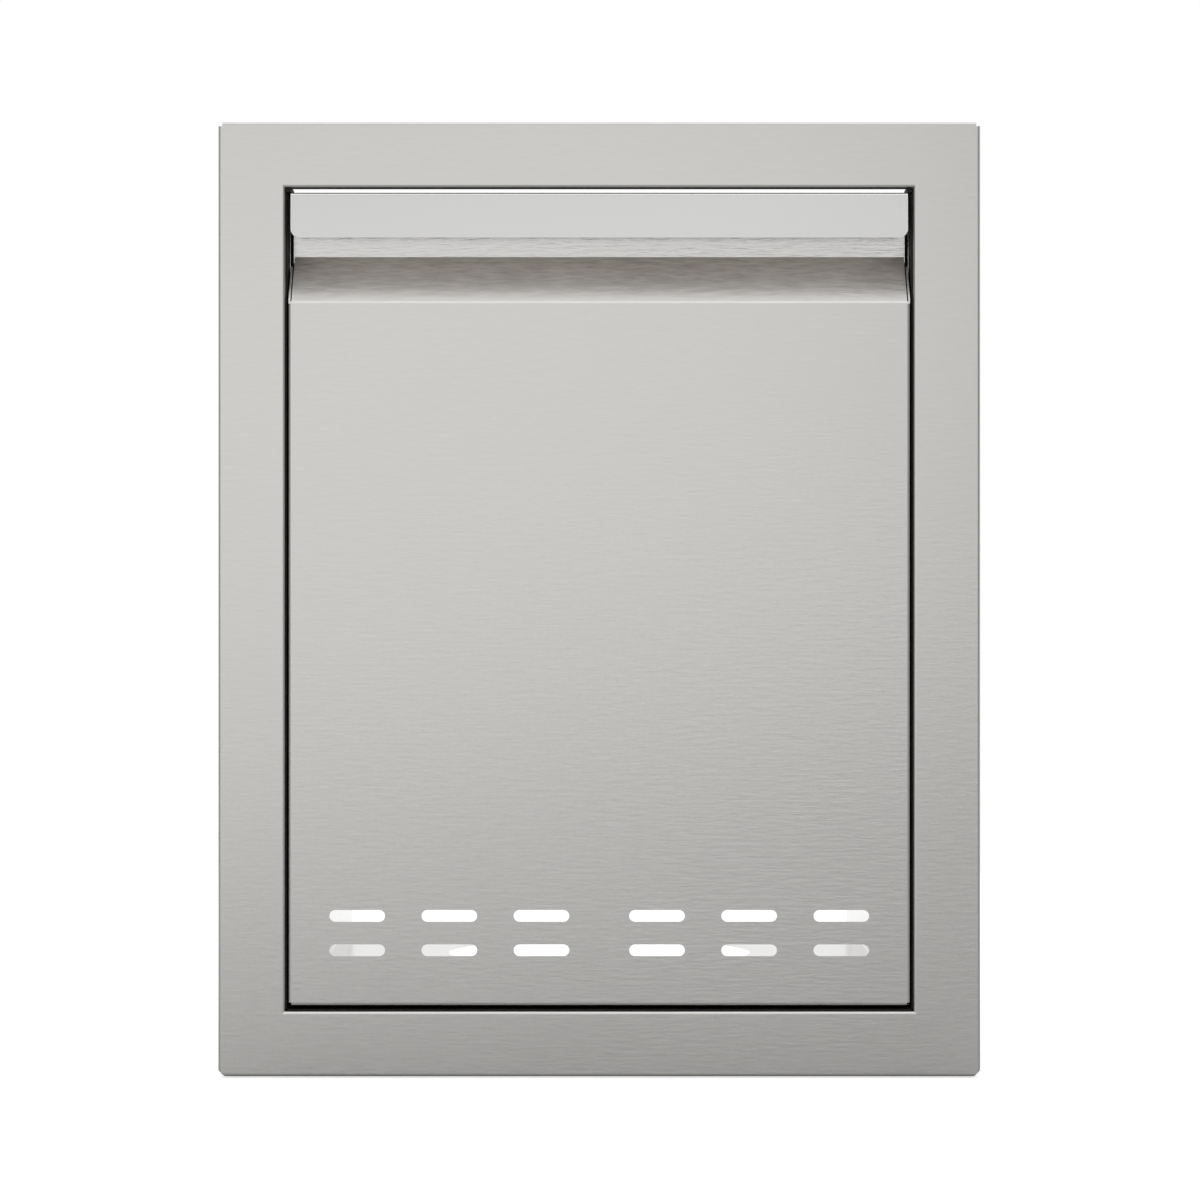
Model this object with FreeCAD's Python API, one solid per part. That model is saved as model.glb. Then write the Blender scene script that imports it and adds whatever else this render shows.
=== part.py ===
import FreeCAD
import Part
import math
import os

# A built-in stainless pull-out for an outdoor kitchen: a folded face frame,
# a chassis behind it, two ball-bearing slides and a tray behind a vented
# front with a full-width recessed pull. Sizes are in millimetres.
# X runs to the right, Y into the wall and Z up. Shapes are drawn with the
# face at Y = 0 and are moved when written, so that Y = 0 is then the wall.

# Face frame
frame_width = 508.0
frame_height = 636.0
side_border = 44.6
end_border = 43.5
frame_sheet = 1.2
frame_bend = 0.8
flange_depth = 12.0
edge_lip = 10.0
corner_relief = 2.7
bottom_chamfer = 4.2
mitre_land = 1.0
top_return = 8.0
stop_flange = 5.0
side_hole_radius = 2.5
side_hole_spacing = 280.0
side_hole_height = 40.0
side_hole_depth = 22.0

# Weather seal on the stop flange
seal_width = 3.8
seal_height = 3.5
seal_clearance = 0.3
seal_end_gap = 0.5

# Drawer front
front_sheet = 1.2
front_bend = 0.8
side_gap = 2.2
top_gap = 3.3
bottom_gap = 3.8
lip_height = 30.2
lip_corner = 6.0
lip_flare = 2.5
recess_height = 73.2
recess_depth = 27.0
slope_angle = 50.3
return_overlap = 1.3
ear_depth = 21.0
pull_gap = 0.3
pull_weld_land = 4.0
slope_gap = 0.9

# Vent slots in the drawer front
vent_length = 37.0
vent_height = 7.8
vent_pitch = 61.4
vent_middle_pitch = 77.0
vent_columns = 3
vent_rows = 2
vent_row_pitch = 22.9
vent_rise = 36.8

# Tray
tray_sheet = 1.2
tray_bend = 0.8
tray_rise = 12.0
tray_wall = 56.0
tray_wall_lip = 5.0
tray_front_flange = 10.5
tray_rear_flange = 9.0
tray_rear_gap = 12.0
tray_corner_cut = 22.0
bottle_hole_radius = 110.0
bottle_hole_setback = 235.0

# Braces between tray and front
brace_sheet = 1.2
brace_bend = 0.8
brace_length = 150.0
brace_height = 250.0
brace_rear_height = 58.0
brace_flange = 22.0
brace_lift = 1.2
brace_vent_gap = 8.0

# Slides
slide_length = 450.0
slide_height = 45.0
slide_thickness = 12.7
slide_sheet = 1.4
slide_bend = 0.5
slide_setback = 0.5
slide_notch_gap = 2.0
member_gap = 0.3
flange_tip_gap = 0.8
tongue_width = 28.0
tongue_length = 8.0

# Ball cages
ball_radius = 1.6
ball_clearance = 0.06
race_depth = 0.3
cage_sheet = 0.5
cage_bend = 0.25
cage_rim = 0.7
cage_length = 170.0
cage_setback = 128.0
pocket_clearance = 0.1
balls_per_row = 3

# Chassis
rail_sheet = 1.2
rail_bend = 0.8
rail_lap = 26.0
rail_foot = 18.0
rail_lip = 8.0
rail_headroom = 40.0
rail_gap = 1.5
tie_sheet = 1.2
tie_bend = 0.8
tie_width = 44.0
tie_lip = 6.0
tie_setbacks = (30.0, 228.0)
tie_end_gap = 0.5

# Screws that hold the tray and its braces to the slides
screw_radius = 2.0
screw_head_radius = 3.6
screw_head_height = 2.2
screw_clearance = 0.1
screw_inset = 45.0
screw_middle_share = 0.65

Vector = FreeCAD.Vector
cut_margin = 5.0

# Levels that follow from the sizes above
frame_half_width = frame_width / 2
frame_half_height = frame_height / 2
opening_half_width = frame_half_width - side_border
opening_half_height = frame_half_height - end_border
front_half = opening_half_width - side_gap
front_top = opening_half_height - top_gap
front_bottom = bottom_gap - opening_half_height
slope_rise = math.tan(math.radians(slope_angle))
ridge_height = front_top - recess_height
front_depth = recess_depth + front_sheet + return_overlap
wall_bottom = ridge_height + recess_depth * slope_rise
pull_half = front_half - front_sheet - pull_gap
seal_front = front_depth + seal_clearance
stop_face = seal_front + seal_height
stop_back = stop_face + frame_sheet
rail_inner = opening_half_width + frame_sheet
rail_outer = rail_inner + rail_sheet
rail_bottom = -opening_half_height - frame_sheet
tray_bottom = front_bottom + tray_rise
tray_floor = tray_bottom + tray_sheet
tray_half = rail_inner - slide_thickness
tray_inner = tray_half - tray_sheet
slide_centre = tray_bottom + tray_wall / 2
slide_front = stop_back + slide_setback
slide_back = slide_front + slide_length
rail_top = slide_centre + slide_height / 2 + rail_headroom
middle_back = slide_back - slide_sheet - member_gap
inner_back = middle_back - slide_sheet - member_gap
tray_back = inner_back - tray_rear_gap
vent_top = front_bottom + vent_rise + (vent_rows - 1) * vent_row_pitch + vent_height / 2
brace_bottom = tray_floor + brace_lift
brace_top = brace_bottom + brace_height

# The slide's section: distances from the rail, and heights from its middle
race_gap = 2 * (ball_radius - race_depth)
outer_level = slide_height / 2
outer_row = outer_level - slide_sheet - race_gap / 2
middle_level = outer_level - slide_sheet - race_gap
inner_row = middle_level - slide_sheet - race_gap / 2
inner_level = middle_level - slide_sheet - race_gap
outer_cage_web = slide_sheet + member_gap
middle_web = outer_cage_web + cage_sheet + member_gap
inner_cage_web = middle_web + slide_sheet + member_gap
inner_tip = inner_cage_web + cage_sheet + member_gap
flange_tip = slide_thickness - slide_sheet - flange_tip_gap
ball_offset = (inner_tip + flange_tip) / 2
cage_tip = ball_offset + ball_radius + cage_rim

# Places along the slides
screw_setbacks = (screw_inset, screw_middle_share * slide_length, slide_length - screw_inset)
tie_depths = [slide_front + setback for setback in tie_setbacks]


def place_plan(height):
    """Map drawing points to a plan view at this height."""
    return lambda p: Vector(p.x, p.y, height)


def place_front(depth):
    """Map drawing points to a front view at this depth."""
    return lambda p: Vector(p.x, depth, p.y)


def place_side(offset):
    """Map drawing points to a side view at this X."""
    return lambda p: Vector(offset, p.x, p.y)


def block(low, high):
    """A box between two corners."""
    size = Vector(*high) - Vector(*low)
    return Part.makeBox(size.x, size.y, size.z, Vector(*low))


def prism(outline, place, run):
    """Extrude a polygon drawn in a view."""
    corners = [place(Vector(*point)) for point in outline]
    return Part.Face(Part.makePolygon(corners + corners[:1])).extrude(run)


def sheet_side(path, sheet, bend, offset):
    """One surface of a folded sheet: its points, with a third point on each bend."""
    points = [Vector(*point) for point in path]
    ways = [(b - a).normalize() for a, b in zip(points, points[1:])]
    normals = [Vector(-way.y, way.x) for way in ways]
    pieces = []
    start = points[0] + normals[0] * offset
    for corner, before, after, side, next_side in zip(
        points[1:], ways, ways[1:], normals, normals[1:]
    ):
        turn = math.copysign(1.0, before.x * after.y - before.y * after.x)
        radius = bend + (abs(sheet) if turn * sheet > 0 else 0.0)
        reach = radius * math.tan(before.getAngle(after) / 2)
        bend_start = corner - before * reach
        centre = bend_start + side * (turn * radius)
        outward = (corner - centre).normalize()
        arc = (
            bend_start + side * offset,
            centre + outward * (radius - turn * offset),
            corner + after * reach + next_side * offset,
        )
        pieces.append((start, arc[0]))
        pieces.append(arc)
        start = arc[2]
    pieces.append((start, points[-1] + normals[-1] * offset))
    return pieces


def folded(path, sheet, bend, place, run):
    """A sheet folded along a path, which is one of its surfaces, and extruded.

    The sheet lies to the left of the path, or to its right if it is negative.
    """
    one = sheet_side(path, sheet, bend, 0.0)
    other = sheet_side(path, sheet, bend, sheet)
    ends = [(one[0][0], other[0][0]), (one[-1][-1], other[-1][-1])]
    edges = []
    for piece in one + other + ends:
        corners = [place(point) for point in piece]
        if len(corners) == 3:
            edges.append(Part.Arc(*corners).toShape())
        else:
            edges.append(Part.makeLine(*corners))
    return Part.Face(Part.Wire(Part.sortEdges(edges)[0])).extrude(run)


def slot(length, height, centre, run):
    """An obround bar, to be cut out of the front."""
    reach = (length - height) / 2
    bar = block((-reach, 0, -height / 2), (reach, run, height / 2))
    ends = [
        Part.makeCylinder(height / 2, run, Vector(x, 0, 0), Vector(0, 1, 0))
        for x in (-reach, reach)
    ]
    obround = bar.fuse(ends).removeSplitter()
    obround.translate(centre)
    return obround


def mirrored(shape):
    """The same piece for the other side."""
    return shape.mirror(Vector(0, 0, 0), Vector(1, 0, 0))


def cross_rod(radius, start, end, depth, height):
    """A round bar along X."""
    return Part.makeCylinder(radius, end - start, Vector(start, depth, height), Vector(1, 0, 0))


def save(name, solids):
    """Write one node, moved so that the wall is at Y = 0."""
    shape = Part.makeCompound(solids) if isinstance(solids, list) else solids
    moved = shape.copy()
    moved.translate(Vector(0, -flange_depth, 0))
    moved.exportStep(f"parts/{name}.step")


def save_pair(name, right_piece):
    """Write a piece of the right side and its mirror image."""
    save(f"right_{name}", right_piece)
    save(f"left_{name}", mirrored(right_piece))


def mitre_line(side, end):
    """Corner line of two borders in a front view: 45 degrees where they are bent."""
    outer_leg = edge_lip + cut_margin
    inner_leg = frame_sheet + frame_bend + mitre_land
    line = [
        (frame_half_width, frame_half_height),
        (frame_half_width - outer_leg, frame_half_height - outer_leg),
        (opening_half_width + inner_leg, opening_half_height + inner_leg),
        (opening_half_width, opening_half_height),
    ]
    return [(side * x, end * z) for x, z in line]


def border_outlines():
    """Mitred regions of the right, top and bottom borders, in a front view."""
    reach = stop_flange + cut_margin
    inner_x = opening_half_width - reach
    lower_z = reach - opening_half_height
    upper_right = mitre_line(1, 1)
    lower_right = mitre_line(1, -1)
    right = upper_right + [(inner_x, opening_half_height), (inner_x, lower_z)] + lower_right[::-1]
    top_margin = opening_half_height - cut_margin
    top = upper_right + [(opening_half_width, top_margin), (-opening_half_width, top_margin)]
    top += mitre_line(-1, 1)[::-1]
    bottom = lower_right + [(inner_x, lower_z), (-inner_x, lower_z)] + mitre_line(-1, -1)[::-1]
    return right, top, bottom


def mitred(bar, outline):
    """Cut a border's bar to its mitred region."""
    run = Vector(0, stop_back + 2 * cut_margin, 0)
    return bar.common(prism(outline, place_front(-cut_margin), run))


def place_right(p):
    """Map border points, inward from the edge and into the wall, to the right border."""
    return Vector(frame_half_width - p.x, p.y, -frame_half_height)


def place_top(p):
    """Map border points to the top border."""
    return Vector(-frame_half_width, p.y, frame_half_height - p.x)


def place_bottom(p):
    """Map border points to the bottom border."""
    return Vector(-frame_half_width, p.y, p.x - frame_half_height)


upright = Vector(0, 0, frame_height)
across = Vector(frame_width, 0, 0)
right_outline, top_outline, bottom_outline = border_outlines()


def border_path(strip, has_stop):
    """Section of a border: back lip, outer edge, face, return and stop flange."""
    path = [(edge_lip, flange_depth), (0, flange_depth), (0, 0), (strip, 0)]
    if has_stop:
        return path + [(strip, stop_face), (strip + stop_flange, stop_face)]
    return path + [(strip, top_return)]


def slide_notch(clearance):
    """Passage for the slide's moving members through the right stop flange."""
    reach = middle_level + slide_notch_gap + clearance
    low = (opening_half_width - stop_flange - cut_margin, seal_front - cut_margin, slide_centre - reach)
    return block(low, (opening_half_width, stop_back + cut_margin, slide_centre + reach))


def corner_cuts():
    """A square relief at the top right corner and a chamfer at the bottom right one."""
    outside = frame_half_width + cut_margin
    relief = block(
        (frame_half_width - corner_relief, -cut_margin, frame_half_height - corner_relief),
        (outside, flange_depth + cut_margin, frame_half_height + cut_margin),
    )
    chamfer_side = frame_half_width - bottom_chamfer
    chamfer_top = bottom_chamfer - frame_half_height
    below = -frame_half_height - cut_margin
    outline = [
        (chamfer_side, -frame_half_height),
        (frame_half_width, chamfer_top),
        (outside, chamfer_top),
        (outside, below),
        (chamfer_side, below),
    ]
    chamfer = prism(outline, place_front(-cut_margin), Vector(0, flange_depth + 2 * cut_margin, 0))
    return [relief, chamfer]


def build_face_frame():
    side_path = border_path(side_border, True)
    end_path = border_path(end_border, True)
    top_path = border_path(end_border, False)
    right = mitred(folded(side_path, frame_sheet, frame_bend, place_right, upright), right_outline)
    top = mitred(folded(top_path, frame_sheet, frame_bend, place_top, across), top_outline)
    bottom = mitred(folded(end_path, frame_sheet, frame_bend, place_bottom, across), bottom_outline)
    tools = [slide_notch(0.0)]
    for end in (-0.5, 0.5):
        tools.append(cross_rod(
            side_hole_radius, opening_half_width - cut_margin, opening_half_width + cut_margin,
            side_hole_depth, side_hole_height + end * side_hole_spacing,
        ))
    corners = corner_cuts()
    right = right.cut(tools + corners)
    ends = [end.cut(corners + [mirrored(tool) for tool in corners]) for end in (top, bottom)]
    return right.fuse([mirrored(right)] + ends).removeSplitter()


def seal_bar(strip, place, run):
    """A D-section strip on the stop flange, round towards the drawer front."""
    edge = strip + stop_flange - seal_width
    radius = seal_width / 2
    foot_a = Vector(edge, stop_face)
    foot_b = Vector(edge + seal_width, stop_face)
    side_a = Vector(edge, seal_front + radius)
    side_b = Vector(edge + seal_width, seal_front + radius)
    tip = Vector(edge + radius, seal_front)
    edges = [
        Part.makeLine(place(foot_a), place(side_a)),
        Part.Arc(place(side_a), place(tip), place(side_b)).toShape(),
        Part.makeLine(place(side_b), place(foot_b)),
        Part.makeLine(place(foot_b), place(foot_a)),
    ]
    return Part.Face(Part.Wire(edges)).extrude(run)


def build_weather_seal():
    right = mitred(seal_bar(side_border, place_right, upright), right_outline)
    bottom = mitred(seal_bar(end_border, place_bottom, across), bottom_outline)
    low = (0, 0, opening_half_height - seal_end_gap)
    end_cut = block(low, (frame_width, stop_back + cut_margin, frame_height))
    right = right.cut([end_cut, slide_notch(seal_end_gap)])
    return right.fuse([mirrored(right), bottom]).removeSplitter()


def build_rail():
    lap_start = stop_back - rail_lap
    path = [
        (rail_inner - rail_lip, rail_top),
        (rail_outer, rail_top),
        (rail_outer, rail_bottom),
        (rail_inner - rail_foot, rail_bottom),
    ]
    run = Vector(0, slide_back - lap_start, 0)
    rail = folded(path, -rail_sheet, rail_bend, place_front(lap_start), run)
    low = (0, lap_start - cut_margin, rail_bottom - cut_margin)
    lap_cut = block(low, (rail_inner, stop_back + rail_gap, rail_top + cut_margin))
    return rail.cut(lap_cut)


def build_tie(depth):
    half = rail_inner - rail_bend - tie_end_gap
    base = rail_bottom + rail_sheet
    path = [
        (depth, base + tie_lip),
        (depth, base),
        (depth + tie_width, base),
        (depth + tie_width, base + tie_lip),
    ]
    return folded(path, tie_sheet, tie_bend, place_side(-half), Vector(2 * half, 0, 0))


def place_slide(depth):
    """Map slide section points, from the rail and from its middle, to the right slide."""
    return lambda p: Vector(rail_inner - p.x, depth, slide_centre + p.y)


def race_rods(row):
    """Bars that press the upper and lower ball races of a row into the members."""
    return [
        Part.makeCylinder(
            ball_radius + ball_clearance, slide_back + cut_margin,
            Vector(rail_inner - ball_offset, 0, slide_centre + side * row), Vector(0, 1, 0),
        )
        for side in (-1, 1)
    ]


def channel(web, tip, level, back, rows):
    """A slide member: a C channel with ball races, from the slide's front to its back."""
    path = [(tip, level), (web, level), (web, -level), (tip, -level)]
    sheet = slide_sheet if tip > web else -slide_sheet
    run = Vector(0, back - slide_front, 0)
    member = folded(path, sheet, slide_bend, place_slide(slide_front), run)
    return member.cut([rod for row in rows for rod in race_rods(row)])


def tongue(web, reach, back):
    """A stop at a member's back end, turned in from its web."""
    low = (rail_inner - web - reach, back - slide_sheet, slide_centre - tongue_width / 2)
    high = (rail_inner - web - slide_sheet, back, slide_centre + tongue_width / 2)
    return block(low, high)


def build_slide_outer():
    member = channel(0.0, flange_tip, outer_level, slide_back, [outer_row])
    return member.fuse(tongue(0.0, tongue_length, slide_back)).removeSplitter()


def build_slide_middle():
    member = channel(middle_web, flange_tip, middle_level, middle_back, [outer_row, inner_row])
    return member.fuse(tongue(middle_web, tongue_length, middle_back)).removeSplitter()


def build_slide_inner():
    member = channel(slide_thickness, inner_tip, inner_level, inner_back, [inner_row])
    return member.cut([
        cross_rod(
            screw_radius + screw_clearance, tray_half - cut_margin,
            tray_half + slide_sheet + cut_margin, slide_front + setback, slide_centre,
        )
        for setback in screw_setbacks
    ])


def pocket_centres(row):
    """Centres of the balls' pockets in a cage's upper and lower rows."""
    pitch = cage_length / balls_per_row
    start = slide_front + cage_setback + pitch / 2
    return [
        Vector(rail_inner - ball_offset, start + i * pitch, slide_centre + side * row)
        for side in (-1, 1)
        for i in range(balls_per_row)
    ]


def build_cage(web, row):
    level = row + cage_sheet / 2
    path = [(cage_tip, level), (web, level), (web, -level), (cage_tip, -level)]
    run = Vector(0, cage_length, 0)
    place = place_slide(slide_front + cage_setback)
    cage = folded(path, cage_sheet, cage_bend, place, run)
    reach = ball_radius + pocket_clearance
    corner = Vector(reach, reach, cage_sheet)
    return cage.cut([block(centre - corner, centre + corner) for centre in pocket_centres(row)])


def build_pull_channel():
    """The back wall, shelf and hanging lip of the pull, welded behind the slope's edge."""
    shelf = front_top - front_sheet
    lip_bottom = front_top - lip_height
    lip_top_depth = front_sheet + lip_height * math.tan(math.radians(lip_flare))
    profile = [
        (recess_depth, wall_bottom - pull_weld_land),
        (recess_depth, shelf),
        (lip_top_depth, shelf),
        (front_sheet, lip_bottom),
    ]
    width = Vector(2 * pull_half, 0, 0)
    channel_bar = folded(profile, -front_sheet, front_bend, place_side(-pull_half), width)
    lip_edges = [
        edge for edge in channel_bar.Edges
        if abs(edge.CenterOfMass.z - lip_bottom) < front_sheet / 2
        and abs(abs(edge.CenterOfMass.x) - pull_half) < front_sheet / 2
    ]
    return channel_bar.makeFillet(lip_corner, lip_edges)


def build_front_panel():
    bend_reach = front_bend + front_sheet
    ridge_start = ridge_height - bend_reach * math.tan(math.radians(slope_angle) / 2)
    profile = [
        (front_depth, front_bottom),
        (0, front_bottom),
        (0, ridge_height),
        (recess_depth, wall_bottom),
    ]
    strip_half = front_half - front_sheet - slope_gap
    strip = folded(profile, -front_sheet, front_bend, place_side(-strip_half), Vector(2 * strip_half, 0, 0))
    low = (-front_half, recess_depth, ridge_height)
    strip = strip.cut(block(low, (front_half, front_depth + cut_margin, front_top)))
    pan_start = front_bottom + bend_reach
    plan = [
        (-front_half, front_depth),
        (-front_half, 0),
        (front_half, 0),
        (front_half, front_depth),
    ]
    rise = Vector(0, 0, ridge_start - pan_start)
    pan = folded(plan, front_sheet, front_bend, place_plan(pan_start), rise)
    ear_top = ridge_height + ear_depth * slope_rise
    ear_outline = [
        (bend_reach, ridge_start),
        (bend_reach, ridge_height + bend_reach * slope_rise),
        (ear_depth, ear_top),
        (front_depth, ear_top),
        (front_depth, ridge_start),
    ]
    ear = prism(ear_outline, place_side(front_half - front_sheet), Vector(front_sheet, 0, 0))
    panel = strip.fuse([pan, ear, mirrored(ear)]).removeSplitter()
    return panel.cut(vent_slots())


def vent_slots():
    """Bars through the drawer front for the slots of both halves."""
    bars = []
    for row in range(vent_rows):
        height = front_bottom + vent_rise + row * vent_row_pitch
        for column in range(vent_columns):
            x = vent_middle_pitch / 2 + column * vent_pitch
            for side in (-1, 1):
                centre = Vector(side * x, -cut_margin, height)
                bars.append(slot(vent_length, vent_height, centre, front_sheet + 2 * cut_margin))
    return bars


def build_tray():
    bend_reach = tray_bend + tray_sheet
    tray_front = front_sheet
    wall_top = tray_bottom + tray_wall
    lip_half = tray_half + tray_wall_lip
    section = [
        (-lip_half, wall_top - tray_sheet),
        (-tray_half, wall_top - tray_sheet),
        (-tray_half, tray_bottom),
        (tray_half, tray_bottom),
        (tray_half, wall_top - tray_sheet),
        (lip_half, wall_top - tray_sheet),
    ]
    wall_front = tray_front + bend_reach
    wall_back = tray_back - bend_reach
    run = Vector(0, wall_back - wall_front, 0)
    trough = folded(section, tray_sheet, tray_bend, place_front(wall_front), run)
    floor_path = [
        (tray_front, tray_floor - tray_front_flange),
        (tray_front, tray_floor),
        (tray_back, tray_floor),
        (tray_back, tray_floor - tray_rear_flange),
    ]
    floor_half = tray_half - bend_reach
    width = Vector(2 * floor_half, 0, 0)
    floor = folded(floor_path, -tray_sheet, tray_bend, place_side(-floor_half), width)
    tray = trough.fuse(floor).removeSplitter()
    corner = [
        (wall_back - tray_corner_cut, wall_top),
        (wall_back, wall_top - tray_corner_cut),
        (wall_back + cut_margin, wall_top + cut_margin),
    ]
    wide = Vector(2 * lip_half + 2 * cut_margin, 0, 0)
    tools = [prism(corner, place_side(-lip_half - cut_margin), wide)]
    hole_start = Vector(0, bottle_hole_setback, tray_bottom - cut_margin)
    tools.append(Part.makeCylinder(bottle_hole_radius, tray_sheet + 2 * cut_margin, hole_start))
    for setback in screw_setbacks:
        tools.append(cross_rod(
            screw_radius + screw_clearance, -tray_half - cut_margin, tray_half + cut_margin,
            slide_front + setback, slide_centre,
        ))
    return tray.cut(tools)


def build_brace():
    plan = [
        (tray_inner - brace_flange, front_sheet),
        (tray_inner, front_sheet),
        (tray_inner, front_sheet + brace_length),
    ]
    bar = folded(plan, brace_sheet, brace_bend, place_plan(brace_bottom), Vector(0, 0, brace_height))
    back = front_sheet + brace_length
    slant_start = front_sheet + brace_flange
    outline = [
        (0, brace_bottom),
        (back, brace_bottom),
        (back, brace_bottom + brace_rear_height),
        (slant_start, brace_top),
        (0, brace_top),
    ]
    brace = bar.common(prism(outline, place_side(0), Vector(tray_half, 0, 0)))
    low = (0, 0, brace_bottom - cut_margin)
    inner = tray_inner - brace_sheet - brace_bend
    tools = [block(low, (inner, front_sheet + brace_sheet + cut_margin, vent_top + brace_vent_gap))]
    for setback in screw_setbacks:
        tools.append(cross_rod(
            screw_radius + screw_clearance, inner - cut_margin, tray_half + cut_margin,
            slide_front + setback, slide_centre,
        ))
    return brace.cut(tools)


def build_tray_screws():
    screws = []
    for setback in screw_setbacks:
        braced = slide_front + setback + screw_head_radius < front_sheet + brace_length
        seat = tray_inner - brace_sheet if braced else tray_inner
        shank = cross_rod(screw_radius, seat, tray_half + slide_sheet, slide_front + setback, slide_centre)
        head = cross_rod(
            screw_head_radius, seat - screw_head_height, seat, slide_front + setback, slide_centre,
        )
        screw = shank.fuse(head)
        screws += [screw, mirrored(screw)]
    return screws


os.makedirs("parts", exist_ok=True)
save("face_frame", build_face_frame())
save("weather_seal", build_weather_seal())
save_pair("rail", build_rail())
save("front_tie", build_tie(tie_depths[0]))
save("rear_tie", build_tie(tie_depths[1]))
save_pair("slide_outer", build_slide_outer())
save_pair("slide_middle", build_slide_middle())
save_pair("slide_inner", build_slide_inner())
save_pair("outer_cage", build_cage(outer_cage_web, outer_row))
save_pair("inner_cage", build_cage(inner_cage_web, inner_row))
save("front_panel", build_front_panel())
save("pull_channel", build_pull_channel())
save("tray", build_tray())
save_pair("brace", build_brace())
save("tray_screws", build_tray_screws())
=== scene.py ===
import math
from collections import namedtuple

import bmesh
import bpy
from mathutils import Matrix, Vector


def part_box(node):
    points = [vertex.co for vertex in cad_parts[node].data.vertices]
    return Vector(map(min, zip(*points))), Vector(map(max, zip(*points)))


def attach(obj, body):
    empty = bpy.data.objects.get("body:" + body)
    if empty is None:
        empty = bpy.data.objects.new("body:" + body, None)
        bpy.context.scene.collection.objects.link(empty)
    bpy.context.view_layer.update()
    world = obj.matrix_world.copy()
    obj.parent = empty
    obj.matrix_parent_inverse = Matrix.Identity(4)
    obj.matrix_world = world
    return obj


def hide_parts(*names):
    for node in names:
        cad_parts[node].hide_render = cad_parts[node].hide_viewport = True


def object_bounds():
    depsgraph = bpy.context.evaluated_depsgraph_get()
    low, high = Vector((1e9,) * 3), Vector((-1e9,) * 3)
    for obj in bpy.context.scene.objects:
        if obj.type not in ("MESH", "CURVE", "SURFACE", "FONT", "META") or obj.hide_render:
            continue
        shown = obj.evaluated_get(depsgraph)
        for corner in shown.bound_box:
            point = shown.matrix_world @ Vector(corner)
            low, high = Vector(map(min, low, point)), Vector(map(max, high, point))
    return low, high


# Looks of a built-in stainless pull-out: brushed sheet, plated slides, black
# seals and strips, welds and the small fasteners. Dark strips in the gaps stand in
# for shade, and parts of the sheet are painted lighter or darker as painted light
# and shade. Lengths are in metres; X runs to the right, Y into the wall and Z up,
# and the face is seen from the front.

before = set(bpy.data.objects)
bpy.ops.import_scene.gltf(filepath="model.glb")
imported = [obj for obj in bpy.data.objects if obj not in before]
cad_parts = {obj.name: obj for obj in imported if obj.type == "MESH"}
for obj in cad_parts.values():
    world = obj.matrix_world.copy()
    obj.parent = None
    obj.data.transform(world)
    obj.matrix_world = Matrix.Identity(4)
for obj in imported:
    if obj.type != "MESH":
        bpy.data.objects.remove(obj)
cad_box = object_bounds()
face_depth = cad_box[0][1]
millimetre = 0.001

# The photograph's camera
image_width = 1200
metres_per_pixel = 0.0006663
camera_distance = 2.4
sensor_width = 36.0
picture_offset = Vector((0.0005, 0.0, -0.0005))

# Studio walls: how bright they are, and the headings over which that changes
ground_level = 0.33
wall_level = 0.38
ceiling_level = 1.45
wall_headings = (-0.25, 0.15)
ceiling_headings = (0.25, 0.85)
backdrop_headings = (0.0, 0.25)
white = (1.0, 1.0, 1.0, 1.0)

# Softbox: its size, the place of its lower edge, its roll in degrees and how bright it is
softbox_size = (2.24, 1.23)
softbox_depth = -2.0
softbox_edge = -0.286
softbox_shift = -0.33
softbox_roll = 8.9
softbox_radiance = 0.82

# Floor
floor_radius = 1.6
floor_segments = 96
floor_middle = 0.25
floor_tones = (0.39, 0.41)
floor_roughness = 0.9
floor_glow = 0.68
floor_mirror_depths = (0.0, 0.2)

# Sockets of the node that mixes two numbers or two colours
number_sockets = (0, 2, 3)
colour_sockets = (0, 6, 7)
colour_result = 2

# Brushed sheet: length, width and detail of each kind of streak
fine_streak = (0.012, 0.0006, 3.0)
broad_streak = (0.017, 0.0022, 2.0)
cloud_streak = (0.12, 0.12, 3.0)
streak_roughness = 0.55

# Shares of the fine, broad and cloud streaks in the tone, and of the first two in the relief
tone_shares = (0.4, 0.4, 0.2)
relief_shares = (0.3, 0.7)

# Tones between which a colour changes, and how the roughness follows the tone and the wear
tone_range = (0.3, 0.7)
gloss_spread = 0.1
worn_gloss = -0.05

# The brush pressed lightly on the face's upper left, and harder from its middle to its lower right corner
press_slant = -0.63
press_range = (0.0, 0.3)
light_press = 0.55

# Edges rubbed bright by wear, also a painted highlight, and bends facing a little upwards that get a painted
# highlight
edge_width = 0.7 * millimetre
edge_samples = 4
edge_likeness = 0.9
bend_rise = (0.05, 0.12)
bend_fall = (0.25, 0.55)
# Colour of worn edges, also used for the painted highlight on edges and bends
rubbed_and_highlight_colour = (0.75, 0.742, 0.73)

# Finishes of the sheet; the spread is that of its tones, and the grain is a depth
Finish = namedtuple("Finish", "colour spread roughness grain")
panel_finish = Finish((0.591, 0.583, 0.568), 0.036, 0.34, 0.115 * millimetre)
border_finish = Finish((0.591, 0.583, 0.567), 0.036, 0.34, 0.09 * millimetre)
# Partly painted light: a smoother mill finish, made paler than the face so that the shaded inside seen
# through the slots reads lighter
inner_finish = Finish((0.69, 0.684, 0.672), 0.04, 0.2, 0.03 * millimetre)
# Partly painted shade: the slope's rougher, grainier brushing in a slightly darker, warmer colour that stands
# in for the recess's shade and its warm reflected light
slope_painted_shade_finish = Finish((0.572, 0.558, 0.542), 0.14, 0.39, 0.18 * millimetre)
# Painted light: a much paler, warmer copy of the steel deep in the slope, where the recess lies in shade
foot_painted_light_finish = Finish((0.9, 0.862, 0.828), 0.26, 0.41, 0.2 * millimetre)
lip_finish = Finish((0.57, 0.568, 0.563), 0.01, 0.24, 0.005 * millimetre)
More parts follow.
